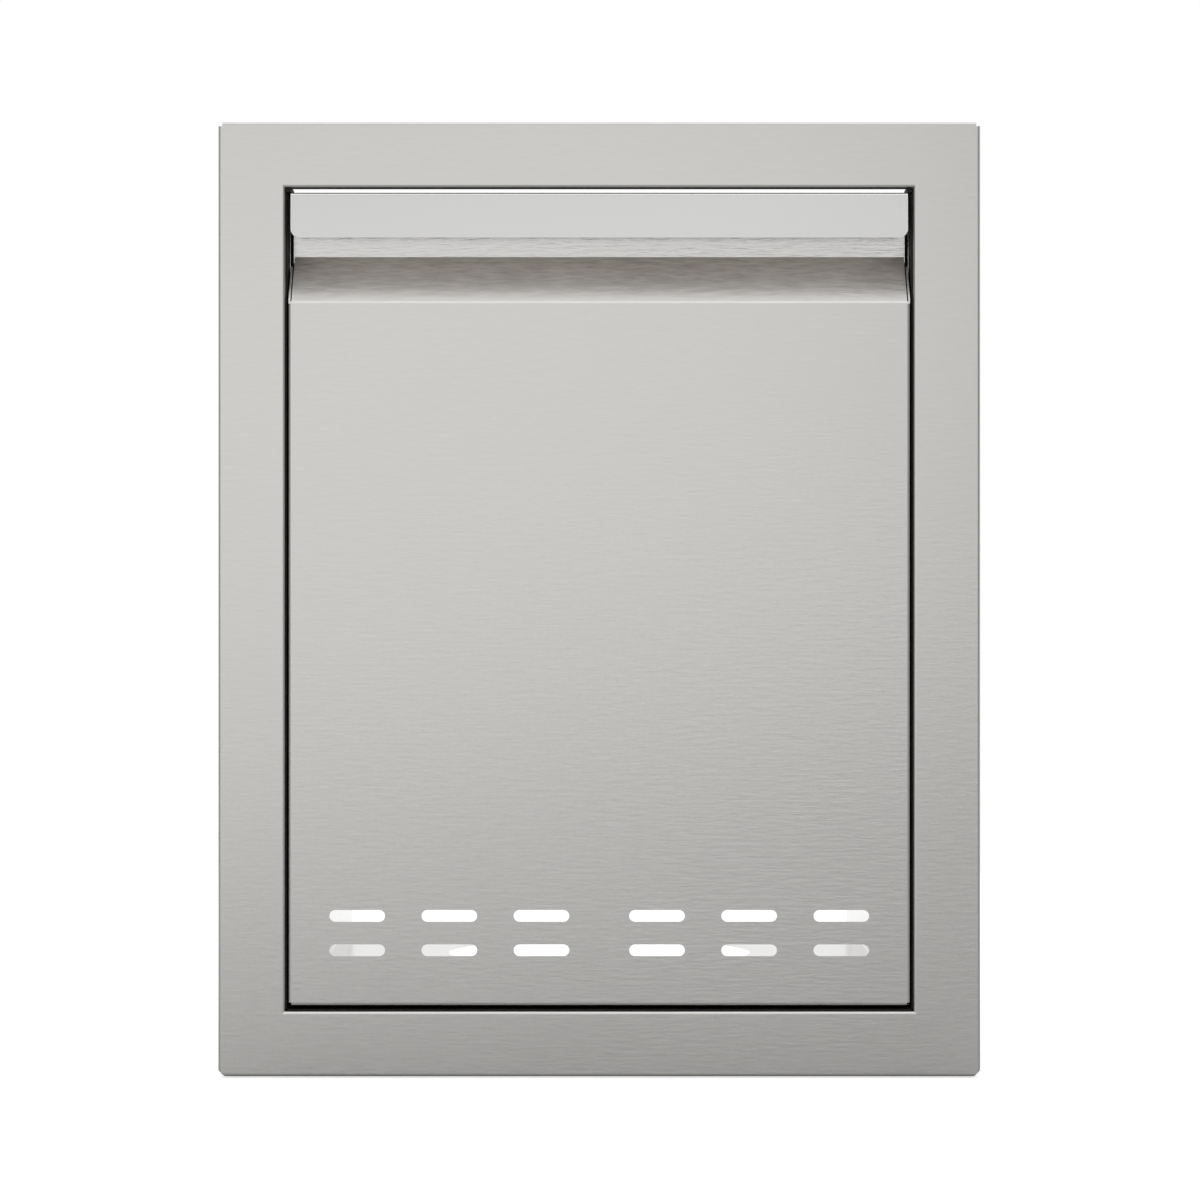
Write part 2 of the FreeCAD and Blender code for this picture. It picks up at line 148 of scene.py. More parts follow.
# Painted light: a paler, warmer copy of the steel on the back of the lip and under the shelf, inside the
# shaded recess
shelf_painted_light_finish = Finish((0.83, 0.797, 0.768), 0.02, 0.3, 0.1 * millimetre)
wall_finish = Finish((0.575, 0.568, 0.555), 0.04, 0.2, 0.14 * millimetre)

# Folds of the sheet: the depths behind the face where another finish starts and is full
Fold = namedtuple("Fold", "start full finish")
sheet = 1.2 * millimetre
fold_start = sheet
fold_full = 6 * sheet
wall_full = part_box("pull_channel")[1].y - sheet - face_depth
wall_start = wall_full - sheet
foot_full = 0.75 * wall_full
wall_lean = 0.12

# Rubber and plastic: where dust shows, how much coarser it is than the pebbles, and how pale a scuff is
dust_range = (0.35, 0.7)
dust_size = 20
scuff_gain = 1.6

# Heat colours of a weld, from its middle outwards
heat_colours = (
    (0.0, (0.4, 0.39, 0.38)),
    (0.35, (0.5, 0.47, 0.42)),
    (0.55, (0.36, 0.39, 0.47)),
    (0.75, (0.58, 0.49, 0.34)),
    (1.0, (0.62, 0.61, 0.59)),
)

# Screws, nuts and rivets; smoothing angles are in degrees
plain_smoothing = 35.0
round_smoothing = 60.0
turned_segments = 24
screw_radius = 2.0 * millimetre
screw_point = 0.4 * millimetre
screw_middle_share = 0.65
socket_flats = 3.0 * millimetre
socket_heights = (2.1 * millimetre, 0.9 * millimetre)
nut_drops = (24.0 * millimetre, 169.0 * millimetre)
thread_turns = 6
rivet_inset = 30.0 * millimetre

# Bearing balls
ball_radius = 1.6 * millimetre
ball_rings = 9
ball_segments = 16
balls_per_row = 3
cage_rim = 0.7 * millimetre
half_cage_sheet = 0.25 * millimetre

# Spot welds
rail_weld_count = 4
rail_weld_inset = 14.0 * millimetre
tie_weld_inset = 13.0 * millimetre
tie_weld_edge = 7.0 * millimetre
tray_weld_count = 5
tray_weld_reach = 160.0 * millimetre
tray_weld_rise = 4.6 * millimetre

# Stitch welds
bead_count = 5
bead_length = 14.0 * millimetre
bead_margin = 2 * bead_length
bead_radius = 1.3 * millimetre
bead_sunk = 0.15 * bead_radius
bead_arc_points = 7
bead_ripples = 7
steps_per_ripple = 4
ripple_share = 0.14
bead_end_share = 0.35
bead_end_power = 0.4

# Ends of the pull's slope: height gained per depth, gap beside it and depth of the front's sides
slope_pitch = 1.2044
slope_gap = 0.9 * millimetre
ear_depth = 21.0 * millimetre

# A dark bead in that gap that stands in for its shade: how far its edges and its middle lie below the slope
shade_bead_edge = 0.12 * sheet
shade_bead_middle = 0.35 * sheet

# Black rubber strips inside the frame's opening, dark pieces that stand in for the shade in the gaps; the top
# one has a tab at each end
opening_margin = Vector((1.2, 0.0, 0.5)) * millimetre
strip_clearance = 0.3 * millimetre
strip_softness = 0.35 * millimetre
top_strip_setback = 1.6 * millimetre
top_strip_depth = 5.6 * millimetre
top_strip_thickness = 0.6 * millimetre
tab_overlap = 0.2 * millimetre
tab_step = 0.6 * millimetre
side_strip_setback = 3.0 * millimetre
side_strip_thickness = 1.0 * millimetre


def connect(tree, node, inputs):
    """Set a node's inputs to values, or link them to other nodes."""
    for key, value in inputs.items():
        if isinstance(value, bpy.types.NodeSocket):
            tree.links.new(value, node.inputs[key])
        else:
            node.inputs[key].default_value = value


def put(tree, kind, inputs=None, **settings):
    """Add a node with its properties and its inputs."""
    made = tree.nodes.new(kind)
    for key, value in settings.items():
        setattr(made, key, value)
    connect(tree, made, inputs or {})
    return made


def sum_up(tree, operation, *terms):
    """A math node's result."""
    return put(tree, "ShaderNodeMath", dict(enumerate(terms)), operation=operation).outputs[0]


def weigh(tree, *shares):
    """The sum of values, each times its weight."""
    total = None
    for value, weight in shares:
        part = sum_up(tree, "MULTIPLY", value, weight)
        total = part if total is None else sum_up(tree, "ADD", total, part)
    return total


def between(tree, factor, low, high, start=0.0, end=1.0):
    """A number that goes from low to high while the factor goes from start to end."""
    inputs = {"Value": factor, "From Min": start, "From Max": end, "To Min": low, "To Max": high}
    return put(tree, "ShaderNodeMapRange", inputs, interpolation_type="SMOOTHSTEP").outputs[0]


def ramp(tree, factor, *stops):
    """A colour that follows stops of position and colour."""
    made = put(tree, "ShaderNodeValToRGB", {0: factor})
    elements = made.color_ramp.elements
    while len(elements) < len(stops):
        elements.new(1.0)
    for element, (position, colour) in zip(elements, stops):
        element.position = position
        element.color = (*colour, 1.0)
    return made.outputs[0]


def toned(tree, tone, dark, light, positions=tone_range):
    """A colour that goes from dark to light with the tone."""
    return ramp(tree, tone, *zip(positions, (dark, light)))


def shaded(tree, tone, colour, spread):
    """A colour that is darker and lighter with the tone, by a share of the spread."""
    dark, light = [tuple(part * factor for part in colour) for factor in (1 - spread, 1 + spread)]
    return toned(tree, tone, dark, light)


def fade(tree, factor, first, second):
    """A mix of two numbers."""
    inputs = dict(zip(number_sockets, (factor, first, second)))
    return put(tree, "ShaderNodeMix", inputs).outputs[0]


def blend(tree, factor, first, second):
    """A mix of two colours."""
    inputs = dict(zip(colour_sockets, (factor, first, second)))
    return put(tree, "ShaderNodeMix", inputs, data_type="RGBA").outputs[colour_result]


def object_place(tree):
    """The place on the object."""
    return put(tree, "ShaderNodeTexCoord").outputs["Object"]


def facing(tree, kind):
    """The way that the surface faces, smoothed or true."""
    return put(tree, "ShaderNodeNewGeometry").outputs[kind]


def axes(tree, vector):
    """A vector's X, Y and Z."""
    return put(tree, "ShaderNodeSeparateXYZ", {0: vector}).outputs


def noise(tree, vector, scale, detail):
    """Noise at a place."""
    inputs = {"Vector": vector, "Scale": scale, "Detail": detail}
    return put(tree, "ShaderNodeTexNoise", inputs).outputs[0]


def relief(tree, height, strength, depth):
    """The way that a surface with a fine relief faces."""
    inputs = {"Height": height, "Strength": strength, "Distance": depth}
    return put(tree, "ShaderNodeBump", inputs).outputs[0]


def new_shader(name):
    """A node material with its tree and its main shader."""
    material = bpy.data.materials.new(name)
    material.use_nodes = True
    tree = material.node_tree
    return material, tree, tree.nodes["Principled BSDF"]


def streaks(tree, along, across, streak):
    """Noise drawn out along the brushing."""
    length, width, detail = streak
    inputs = {"X": sum_up(tree, "DIVIDE", along, length), "Y": sum_up(tree, "DIVIDE", across, width)}
    vector = put(tree, "ShaderNodeCombineXYZ", inputs).outputs[0]
    inputs = {"Vector": vector, "Scale": 1.0, "Detail": detail, "Roughness": streak_roughness}
    return put(tree, "ShaderNodeTexNoise", inputs, noise_dimensions="2D").outputs[0]


def worn_edges(tree):
    """One along edges and bends, where hands and cloths rub them bright; on the brushed sheet the bright
    colour there is partly a painted highlight.
    """
    rounded = put(tree, "ShaderNodeBevel", {"Radius": edge_width}, samples=edge_samples).outputs[0]
    inputs = {0: rounded, 1: facing(tree, "Normal")}
    likeness = put(tree, "ShaderNodeVectorMath", inputs, operation="DOT_PRODUCT").outputs["Value"]
    return between(tree, likeness, 1.0, 0.0, edge_likeness, 1.0)


def bend_highlight_mask(tree):
    """One on bends that face a little upwards, where a painted highlight stands in for the light from above
    that they catch.
    """
    tilt = axes(tree, facing(tree, "Normal"))["Z"]
    risen = between(tree, tilt, 0.0, 1.0, *bend_rise)
    return sum_up(tree, "MULTIPLY", risen, between(tree, tilt, 1.0, 0.0, *bend_fall))


def brushed_sheet(name, face, *folds, lean=0.0, highlight_bends=False):
    """Stainless sheet: grain in relief, faint tones, wiped clouds, and edges rubbed bright that also carry a
    painted highlight.

    The folds follow each other in depth behind the face. A lean bows the upper side of the last fold forward.
    Highlight bends get a painted highlight in the rubbed colour, like the edges. The brushing runs along X,
    or along Y on a side.
    """
    material, tree, main = new_shader(name)
    place = axes(tree, object_place(tree))
    way = axes(tree, facing(tree, "True Normal"))
    side = sum_up(tree, "ABSOLUTE", way["X"])
    level = sum_up(tree, "ABSOLUTE", way["Z"])
    along = fade(tree, side, place["X"], place["Y"])
    across = fade(tree, level, place["Z"], place["Y"])
    kinds = [streaks(tree, along, across, streak) for streak in (fine_streak, broad_streak, cloud_streak)]
    tone = weigh(tree, *zip(kinds, tone_shares))
    colour = shaded(tree, tone, face.colour, face.spread)
    gloss = face.roughness
    corner_way = weigh(tree, (place["X"], 1.0), (place["Z"], press_slant))
    grain = between(tree, corner_way, light_press * face.grain, face.grain, *press_range)
    bow = 0.0
    for fold in folds:
        share = between(tree, place["Y"], 0.0, 1.0, face_depth + fold.start, face_depth + fold.full)
        share = sum_up(tree, "MULTIPLY", share, sum_up(tree, "SUBTRACT", 1.0, side))
        colour = blend(tree, share, colour, shaded(tree, tone, fold.finish.colour, fold.finish.spread))
        gloss = fade(tree, share, gloss, fold.finish.roughness)
        grain = fade(tree, share, grain, fold.finish.grain)
        bow = weigh(tree, (sum_up(tree, "MULTIPLY", place["Z"], share), lean))
    # Worn edges, which also paint a highlight, and on highlight bends a painted highlight
    wear_and_highlight = worn_edges(tree)
    if highlight_bends:
        wear_and_highlight = sum_up(tree, "MAXIMUM", wear_and_highlight, bend_highlight_mask(tree))
    cloudy = weigh(tree, (tone, gloss_spread), (wear_and_highlight, worn_gloss))
    gloss = sum_up(tree, "SUBTRACT", gloss, gloss_spread / 2)
    height = sum_up(tree, "MULTIPLY", weigh(tree, *zip(kinds, relief_shares)), grain)
    connect(tree, main, {
        "Base Color": blend(tree, wear_and_highlight, colour, shaded(tree, tone, rubbed_and_highlight_colour, face.spread)),
        "Roughness": sum_up(tree, "ADD", gloss, cloudy),
        "Normal": relief(tree, sum_up(tree, "ADD", height, bow), strength=1.0, depth=1.0),
        "Metallic": 1.0,
    })
    return material


def plated_steel(name):
    """Bright zinc on a slide: cool and cloudy, with drawing lines along the slide and thin grease."""
    material, tree, main = new_shader(name)
    place = object_place(tree)
    stretch = put(tree, "ShaderNodeMapping", {"Vector": place, "Scale": (900.0, 12.0, 900.0)})
    lines = noise(tree, stretch.outputs[0], scale=1.0, detail=2.0)
    cloud = noise(tree, place, scale=60.0, detail=3.0)
    tone = weigh(tree, (lines, 0.5), (cloud, 0.5))
    plain = toned(tree, tone, dark=(0.5, 0.52, 0.55), light=(0.68, 0.69, 0.71))
    polished = toned(tree, cloud, dark=(0.72, 0.73, 0.74), light=(0.78, 0.785, 0.79))
    connect(tree, main, {
        "Base Color": blend(tree, worn_edges(tree), plain, polished),
        "Roughness": between(tree, tone, low=0.24, high=0.42),
        "Normal": relief(tree, lines, strength=0.15, depth=0.05 * millimetre),
        "Metallic": 1.0,
    })
    return material


def turned_steel(name):
    """Plain fastener steel with fine tool marks under a thin film of oil."""
    material, tree, main = new_shader(name)
    place = object_place(tree)
    marks = noise(tree, place, scale=2200.0, detail=2.0)
    film = noise(tree, place, scale=260.0, detail=3.0)
    tone = weigh(tree, (marks, 0.45), (film, 0.55))
    plain = toned(tree, tone, dark=(0.47, 0.465, 0.45), light=(0.64, 0.635, 0.62))
    polished = toned(tree, marks, dark=(0.7, 0.695, 0.685), light=(0.76, 0.755, 0.745))
    connect(tree, main, {
        "Base Color": blend(tree, worn_edges(tree), plain, polished),
        "Roughness": between(tree, tone, low=0.2, high=0.4),
        "Normal": relief(tree, marks, strength=0.2, depth=0.03 * millimetre),
        "Metallic": 1.0,
    })
    return material


def heated_steel(name):
    """A weld mark: grey in the middle, then straw and blue heat colours that fade into the sheet."""
    material, tree, main = new_shader(name)
    reach = put(tree, "ShaderNodeAttribute", attribute_name="reach").outputs["Fac"]
    crust = noise(tree, object_place(tree), scale=900.0, detail=3.0)
    heat = sum_up(tree, "ADD", reach, between(tree, crust, low=-0.12, high=0.12))
    connect(tree, main, {
        "Base Color": ramp(tree, heat, *heat_colours),
        "Roughness": between(tree, crust, low=0.25, high=0.45),
        "Normal": relief(tree, crust, strength=0.3, depth=0.04 * millimetre),
        "Metallic": 1.0,
    })
    return material


def dull_black(name, low, high, roughness, shine, pebbles, depth):
    """Rubber or moulded plastic with a fine pebbled skin and paler scuffed edges."""
    material, tree, main = new_shader(name)
    place = object_place(tree)
    pebble = noise(tree, place, scale=pebbles, detail=2.0)
    dust = noise(tree, place, scale=pebbles / dust_size, detail=3.0)
    skin = toned(tree, dust, low, high, dust_range)
    scuffed = toned(tree, pebble, high, tuple(scuff_gain * part for part in high), dust_range)
    connect(tree, main, {
        "Base Color": blend(tree, worn_edges(tree), skin, scuffed),
        "Roughness": between(tree, dust, *roughness),
        "Normal": relief(tree, pebble, strength=0.3, depth=depth),
        "Specular IOR Level": shine,
    })
    return material


def dress(node, material):
    """Give a CAD node its material."""
    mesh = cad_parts[node].data
    mesh.materials.clear()
    mesh.materials.append(material)


def stand(point, way):
    """A place at a point whose Z axis runs along a way."""
    return Matrix.Translation(point) @ Vector(way).to_track_quat("Z", "Y").to_matrix().to_4x4()


def lathe(shape, profile, place, segments):
    """Turn a closed profile of radius and height round a place's Z axis; a radius may depend on the angle."""
    reach_layer = shape.verts.layers.float.get("reach") or shape.verts.layers.float.new("reach")
    widest = max(radius for radius, height in profile if not callable(radius))
    loops = []
    for radius, height in profile:
        loop = []
        for step in range(segments):
            angle = 2 * math.pi * step / segments
            reach = radius(angle) if callable(radius) else radius
            point = Vector((reach * math.cos(angle), reach * math.sin(angle), height))
            corner = shape.verts.new(place @ point)
            corner[reach_layer] = reach / widest
            loop.append(corner)
        loops.append(loop)
    close_up(shape, loops)


def soft_bar(shape, stations):
    """A closed bar through outlines of the same number of points."""
    close_up(shape, [[shape.verts.new(point) for point in outline] for outline in stations])


def close_up(shape, loops):
    """Faces between loops of the same number of corners, and over the first and the last loop."""
    for first, second in zip(loops, loops[1:]):
        for step in range(len(first)):
            after = (step + 1) % len(first)
            shape.faces.new((first[step], first[after], second[after], second[step]))
    shape.faces.new(reversed(loops[0]))
    shape.faces.new(loops[-1])


def scaled(pairs):
    """Profile pairs given in millimetres, in metres."""
    return [(radius * millimetre, height * millimetre) for radius, height in pairs]


def hexagon(across_flats):
    """The radius of a hexagon at an angle."""
    def radius(angle):
        return across_flats / 2 / math.cos(angle % (math.pi / 3) - math.pi / 6)
    return radius


def middle(low, high):
    """The middle between two corners."""
    return (low + high) / 2


def spread_out(start, end, count):
    """Evenly spaced places between two ends."""
    return [start + (end - start) * step / (count - 1) for step in range(count)]


def piece(name, shape, material, body, smooth_angle=plain_smoothing):
    """Make an object of a shape that moves with a body."""
    mesh = bpy.data.meshes.new(name)
    bmesh.ops.recalc_face_normals(shape, faces=shape.faces)
    shape.to_mesh(mesh)
    shape.free()
    mesh.shade_smooth()
    mesh.set_sharp_from_angle(angle=math.radians(smooth_angle))
    mesh.materials.append(material)
    made = bpy.data.objects.new(name, mesh)
    bpy.context.scene.collection.objects.link(made)
    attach(made, body)
    return made


def screw_profile(shank):
    """A pan-head screw with a hexagon socket; its seat is at height 0."""
    tip = [(screw_radius - screw_point, -shank), (screw_radius, screw_point - shank), (screw_radius, 0.0)]
    head = scaled([(3.6, 0.0), (3.6, 0.9), (3.35, 1.5), (2.8, 2.0), (2.1, 2.2), (1.85, 2.2)])
    socket = [(hexagon(socket_flats), height) for height in socket_heights]
    return tip + head + socket + scaled([(0.3, 0.6)])


def build_tray_screws():
    """Six screws through the tray's walls; the front two also hold the braces."""
    low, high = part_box("tray_screws")
    head_radius = (high.z - low.z) / 2
    level = middle(low, high).z
    brace_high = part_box("right_brace")[1]
    slide_low, slide_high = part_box("right_slide_outer")
    between_ends = slide_low.y + screw_middle_share * (slide_high.y - slide_low.y)
    depths = (low.y + head_radius, between_ends, high.y - head_radius)
    shape = bmesh.new()
    for side in (-1, 1):
        for depth in depths:
            seat = brace_high.x - sheet if depth < brace_high.y else brace_high.x
            place = stand((side * seat, depth, level), (-side, 0, 0))
            lathe(shape, screw_profile(high.x - seat), place, turned_segments)
    screws = piece("socket_screws", shape, fastener_steel, "drawer")
    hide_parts("tray_screws")


def nut_profile():
    """A flange nut on a threaded stud; its seat is at height 0, and the numbers are millimetres."""
    crest = 2.0
    root = 1.7
    pitch = 0.5
    first_root = 3.95
    outline = scaled([(crest, -0.1), (4.8, 0.0), (4.8, 0.7), (4.2, 1.1)])
    for flats, height in ((6.6, 1.2), (7.0, 1.5), (7.0, 3.7), (6.4, 4.0)):
        outline.append((hexagon(flats * millimetre), height * millimetre))
    outline += scaled([(2.4, 4.0), (crest, 3.7)])
    for turn in range(thread_turns):
        level = first_root + pitch * turn
        outline += scaled([(root, level), (crest, level + pitch / 2)])
    return outline + scaled([(root, 7.0), (1.2, 7.2)])


def build_brace_nuts():
    """Two nuts on welded studs hold each brace's flange to the drawer front."""
    shape = bmesh.new()
    for node, outward in (("left_brace", -1), ("right_brace", 1)):
        low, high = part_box(node)
        across = (low.x + high.x - outward * sheet) / 2
        for drop in nut_drops:
            place = stand((across, low.y + sheet, high.z - drop), (0, 1, 0))
            lathe(shape, nut_profile(), place, turned_segments)
    piece("brace_nuts", shape, fastener_steel, "drawer")


def build_slide_rivets():
    """Three rivets hold each slide's outer member to its rail; their heads show on the rail."""
    rim = scaled([(3.9, -0.1), (4.0, 0.0), (4.0, 0.25)])
    dome = scaled([(3.6, 0.85), (2.8, 1.35), (1.8, 1.6), (1.25, 1.6)])
    hollow = scaled([(1.1, 1.2), (0.4, 1.1)])
    shape = bmesh.new()
    low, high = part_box("right_slide_outer")
    centre = middle(low, high)
    rail_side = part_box("right_rail")[1].x
    for side in (-1, 1):
        for depth in (low.y + rivet_inset, centre.y, high.y - rivet_inset):
            place = stand((side * rail_side, depth, centre.z), (side, 0, 0))
            lathe(shape, rim + dome + hollow, place, turned_segments)
    piece("slide_rivets", shape, fastener_steel, "frame")


def weld_marks(name, places, body):
    """Shallow dished marks of spot welds in their heat colours."""
    stain = scaled([(5.0, -0.02), (5.0, 0.01), (3.4, 0.03)])
    ring = scaled([(3.1, 0.1), (2.6, 0.16), (2.0, 0.1)])
    dish = scaled([(1.1, 0.04), (0.4, 0.03)])
    shape = bmesh.new()
    for place in places:
        lathe(shape, stain + ring + dish, place, turned_segments)
    piece(name, shape, weld_steel, body, round_smoothing)


def build_spot_welds():
    """Marks where the frame takes the rails, the rails take the ties and the front takes the tray."""
    frame_places = []
    low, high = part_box("right_rail")
    lap = (low.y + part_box("face_frame")[1].y) / 2
    for side in (-1, 1):
        for level in spread_out(low.z + rail_weld_inset, high.z - rail_weld_inset, rail_weld_count):
            frame_places.append(stand((side * high.x, lap, level), (side, 0, 0)))
        for tie in ("front_tie", "rear_tie"):
            tie_low, tie_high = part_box(tie)
            across = side * (tie_high.x - tie_weld_edge)
            for depth in (tie_low.y + tie_weld_inset, tie_high.y - tie_weld_inset):
                frame_places.append(stand((across, depth, tie_low.z + sheet), (0, 0, 1)))
    weld_marks("frame_welds", frame_places, "frame")
    low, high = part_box("tray")
    drawer_places = []
    for across in spread_out(-tray_weld_reach, tray_weld_reach, tray_weld_count):
        drawer_places.append(stand((across, low.y + sheet, low.z + tray_weld_rise), (0, 1, 0)))
    weld_marks("drawer_welds", drawer_places, "drawer")


def bead_outline(swell):
    """Depth and height points of a bead in a corner, with its flat sides a little inside the metal."""
    last = bead_arc_points - 1
    outline = [(-bead_sunk, -bead_sunk)]
    for turn in range(bead_arc_points):
        angle = math.pi / 2 * turn / last
        depth = swell * math.cos(angle) - bead_sunk * (turn == last)
        rise = swell * math.sin(angle) - bead_sunk * (turn == 0)
        outline.append((depth, rise))
    return outline


def build_stitch_welds():
    """Short rippled beads behind the pull, in the corner between its wall and the front's upper lip."""
    corner = Vector((0.0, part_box("pull_channel")[1].y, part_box("front_panel")[1].z))
    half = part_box("front_panel")[1].x - bead_margin
    steps = steps_per_ripple * bead_ripples
    shape = bmesh.new()
    for across in spread_out(-half, half, bead_count):
        stations = []
        for step in range(steps + 1):
            along = step / steps
            ripple = 1 - ripple_share + ripple_share * abs(math.sin(math.pi * along * bead_ripples))
            fullness = bead_end_share + (1 - bead_end_share) * math.sin(math.pi * along) ** bead_end_power
            place = corner + Vector((across + (along - 0.5) * bead_length, 0.0, 0.0))
            outline = bead_outline(bead_radius * ripple * fullness)
            stations.append([place + Vector((0.0, depth, rise)) for depth, rise in outline])
        soft_bar(shape, stations)
    piece("stitch_welds", shape, weld_steel, "drawer", round_smoothing)


def build_balls():
    """Bearing balls in the pockets of each cage."""
    arc = [math.pi * (step + 0.5) / ball_rings for step in range(ball_rings)]
    profile = [(ball_radius * math.sin(angle), -ball_radius * math.cos(angle)) for angle in arc]
    for side, sign in (("left", -1), ("right", 1)):
        for row in ("outer", "inner"):
            cage = f"{side}_{row}_cage"
            low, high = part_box(cage)
            centre = middle(low, high)
            tip = low.x if sign > 0 else -high.x
            across = sign * (tip + ball_radius + cage_rim)
            rise = (high.z - low.z) / 2 - half_cage_sheet
            pitch = (high.y - low.y) / balls_per_row
            shape = bmesh.new()
            for level in (centre.z - rise, centre.z + rise):
                for step in range(balls_per_row):
                    place = stand((across, low.y + (step + 0.5) * pitch, level), (0, 1, 0))
                    lathe(shape, profile, place, ball_segments)
            piece(f"{cage}_balls", shape, fastener_steel, cage, round_smoothing)


def build_slope_shade_beads():
    """A hollow dark bead at each end of the slope, between it and the side of the front, standing in for the
    shade in that gap.
    """
    low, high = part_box("front_panel")
    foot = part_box("pull_channel")[1].y - sheet
    inward = Vector((0.0, slope_pitch, -1.0)).normalized()
    outer = high.x - sheet
    profile = (
        (slope_gap, shade_bead_edge),
        (slope_gap / 2, shade_bead_middle),
        (0.0, shade_bead_edge),
        (0.0, sheet),
        (slope_gap, sheet),
    )
    shape = bmesh.new()
    for side in (-1, 1):
        stations = []
        for depth in (sheet, ear_depth):
            place = Vector((0.0, low.y + depth, high.z - (foot - low.y - depth) * slope_pitch))
            outline = []
            for across, sunk in profile:
                outline.append(place + Vector((side * (outer - across), 0.0, 0.0)) + sunk * inward)
            stations.append(outline)
        soft_bar(shape, stations)
    piece("slope_shade_beads", shape, seal_rubber, "drawer")


def shade_strip_outline(front, back, base, crown):
    """Depth and height points of a flat strip with softened front and back edges."""
    shoulder = crown - math.copysign(strip_softness, crown - base)
    return [
        (front, base),
        (front, shoulder),
        (front + strip_softness, crown),
        (back - strip_softness, crown),
        (back, shoulder),
        (back, base),
    ]


def build_edge_shade_strips():
    """Thin black rubber strips all round inside the frame's opening, standing in for the shade in the gaps as
    painted shade; the top one closes the upper corners.
    """
    pull_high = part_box("pull_channel")[1]
    seal_low, seal_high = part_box("weather_seal")
    opening = seal_high + opening_margin
    front = face_depth + top_strip_setback
    tab_crown = pull_high.z + strip_clearance
    tab_outline = shade_strip_outline(front, pull_high.y, opening.z, tab_crown)
    strip_outline = shade_strip_outline(front, front + top_strip_depth, opening.z, opening.z - top_strip_thickness)
    end = opening.x - strip_clearance
    tab = pull_high.x - tab_overlap
    parts = (
        (-end, tab_outline),
        (-tab, tab_outline),
        (tab_step - tab, strip_outline),
        (tab - tab_step, strip_outline),
        (tab, tab_outline),
        (end, tab_outline),
    )
    shape = bmesh.new()
    soft_bar(shape, [[(across, depth, level) for depth, level in outline] for across, outline in parts])
    side_front = front + side_strip_setback
    side_back = seal_low.y - strip_clearance
    inside = opening.x - side_strip_thickness
    levels = (seal_low.z, tab_crown - tab_step)
    for side in (-1, 1):
        outline = shade_strip_outline(side_front, side_back, side * opening.x, side * inside)
        soft_bar(shape, [[(across, depth, level) for depth, across in outline] for level in levels])
    outline = shade_strip_outline(side_front, side_back, -opening.z, side_strip_thickness - opening.z)
    soft_bar(shape, [[(across, depth, level) for depth, level in outline] for across in (-inside, inside)])
    piece("edge_shade_strips", shape, seal_rubber, "frame")


def white_rays(tree, heading, headings):
    """One for rays that meet white: from the camera, through something clear, or mirrored from behind."""
    path = put(tree, "ShaderNodeLightPath").outputs
    seen = sum_up(tree, "MAXIMUM", path["Is Camera Ray"], path["Is Transmission Ray"])
    behind = between(tree, heading, 0.0, 1.0, *headings)
    mirrored = sum_up(tree, "MULTIPLY", path["Is Glossy Ray"], behind)
    return sum_up(tree, "MAXIMUM", seen, mirrored)


def build_floor():
    """A pale floor under the frame, white to the camera where no shadow falls."""
    material, tree, main = new_shader("floor_paint")
    place = object_place(tree)
    speck = noise(tree, place, scale=40.0, detail=3.0)
    dark, light = [(tone, tone, tone) for tone in floor_tones]
    share = white_rays(tree, axes(tree, place)["Y"], floor_mirror_depths)
    connect(tree, main, {
        "Base Color": toned(tree, speck, dark, light),
        "Roughness": floor_roughness,
        "Emission Color": white,
        "Emission Strength": sum_up(tree, "MULTIPLY", share, floor_glow),
    })
    mesh = bpy.data.meshes.new("floor")
    shape = bmesh.new()
    bmesh.ops.create_circle(shape, cap_ends=True, segments=floor_segments, radius=floor_radius)
    shape.to_mesh(mesh)
    shape.free()
    mesh.materials.append(material)
    floor = bpy.data.objects.new("floor", mesh)
    floor.location = (0.0, floor_middle, cad_box[0][2] - millimetre)
    bpy.context.scene.collection.objects.link(floor)


def build_world():
    """Even grey studio walls under a pale ceiling, and a white backdrop behind the object."""
    world = bpy.data.worlds.new("studio")
    bpy.context.scene.world = world
    world.use_nodes = True
    tree = world.node_tree
    heading = axes(tree, put(tree, "ShaderNodeTexCoord").outputs["Generated"])
    low = between(tree, heading["Z"], ground_level, wall_level, *wall_headings)
    high = between(tree, heading["Z"], 0.0, ceiling_level - wall_level, *ceiling_headings)
    walls = tree.nodes["Background"]
    connect(tree, walls, {"Color": white, "Strength": sum_up(tree, "ADD", low, high)})
    backdrop = put(tree, "ShaderNodeBackground", {"Color": white})
    share = white_rays(tree, heading["Y"], backdrop_headings)
    mixed = put(tree, "ShaderNodeMixShader", {0: share, 1: walls.outputs[0], 2: backdrop.outputs[0]})
    connect(tree, tree.nodes["World Output"], {"Surface": mixed.outputs[0]})


def build_softbox():
    """A large soft light in front, above and to the left."""
    light = bpy.data.lights.new("softbox", "AREA")
    light.shape = "RECTANGLE"
    light.size, light.size_y = softbox_size
    light.energy = math.pi * softbox_size[0] * softbox_size[1] * softbox_radiance
    lamp = bpy.data.objects.new("softbox", light)
    lamp.matrix_world = (
        Matrix.Translation((0.0, softbox_depth, softbox_edge))
        @ Matrix.Rotation(math.radians(90.0), 4, "X")
        @ Matrix.Rotation(math.radians(softbox_roll), 4, "Z")
        @ Matrix.Translation((softbox_shift, softbox_size[1] / 2, 0.0))
    )
    lamp.visible_camera = False
    bpy.context.scene.collection.objects.link(lamp)


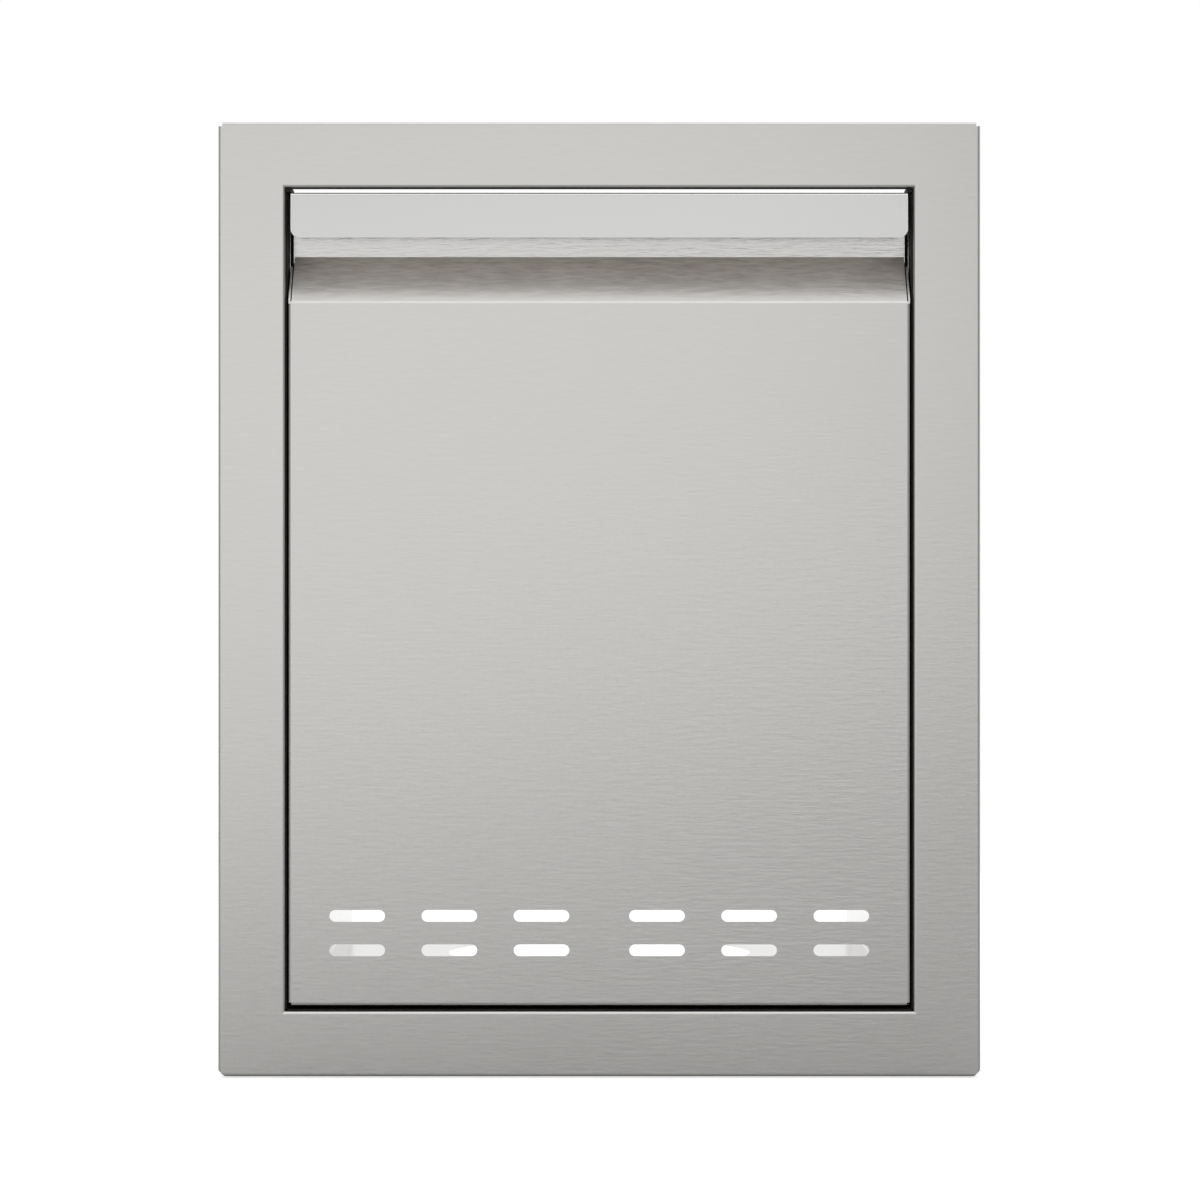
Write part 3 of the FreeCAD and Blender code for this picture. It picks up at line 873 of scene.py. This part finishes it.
def build_camera():
    """The photograph's straight front view."""
    camera = bpy.data.cameras.new("camera")
    camera.sensor_width = sensor_width
    camera.lens = sensor_width * camera_distance / (metres_per_pixel * image_width)
    viewer = bpy.data.objects.new("camera", camera)
    viewer.location = Vector((0.0, face_depth - camera_distance, 0.0)) + picture_offset
    viewer.rotation_euler = (math.radians(90.0), 0.0, 0.0)
    bpy.context.scene.collection.objects.link(viewer)
    bpy.context.scene.camera = viewer


# Materials
inner_fold = Fold(fold_start, fold_full, inner_finish)
slope_painted_shade_fold = Fold(fold_start, fold_full, slope_painted_shade_finish)
foot_painted_light_fold = Fold(fold_full, foot_full, foot_painted_light_finish)
shelf_painted_light_fold = Fold(fold_start, fold_full, shelf_painted_light_finish)
wall_fold = Fold(wall_start, wall_full, wall_finish)
face_steel = brushed_sheet("face_steel", border_finish, inner_fold)
# The slope's finishes paint shade near the ridge and light deep in the recess
front_steel = brushed_sheet("front_steel", panel_finish, slope_painted_shade_fold, foot_painted_light_fold, highlight_bends=True)
# The back of the lip and the shelf are painted paler, as painted light in the recess
pull_steel = brushed_sheet(
    "pull_steel", lip_finish, shelf_painted_light_fold, wall_fold, lean=wall_lean, highlight_bends=True
)
inner_steel = brushed_sheet("inner_steel", inner_finish)
zinc = plated_steel("zinc")
fastener_steel = turned_steel("fastener_steel")
weld_steel = heated_steel("weld_steel")
cage_plastic = dull_black(
    "cage_plastic",
    low=(0.02, 0.02, 0.022),
    high=(0.05, 0.05, 0.053),
    roughness=(0.37, 0.55),
    shine=0.4,
    pebbles=2500.0,
    depth=0.04 * millimetre,
)
seal_rubber = dull_black(
    "seal_rubber",
    low=(0.006, 0.006, 0.006),
    high=(0.02, 0.02, 0.019),
    roughness=(0.57, 0.75),
    shine=0.2,
    pebbles=1800.0,
    depth=0.08 * millimetre,
)

# CAD nodes
dress("face_frame", face_steel)
dress("front_panel", front_steel)
dress("pull_channel", pull_steel)
for node in ("tray", "left_brace", "right_brace", "left_rail", "right_rail", "front_tie", "rear_tie"):
    dress(node, inner_steel)
for side in ("left", "right"):
    for member in ("outer", "middle", "inner"):
        dress(f"{side}_slide_{member}", zinc)
    for row in ("outer", "inner"):
        dress(f"{side}_{row}_cage", cage_plastic)
dress("weather_seal", seal_rubber)

# Pieces that the CAD model leaves out or keeps plain
build_tray_screws()
build_brace_nuts()
build_slide_rivets()
build_spot_welds()
build_stitch_welds()
build_balls()
# A dark bead that stands in for shade in the gaps at the slope's ends
build_slope_shade_beads()
# Dark strips that stand in for shade in the gaps round the front
build_edge_shade_strips()

# The stage
build_floor()
build_world()
build_softbox()
build_camera()
bpy.context.scene.view_settings.view_transform = "Standard"
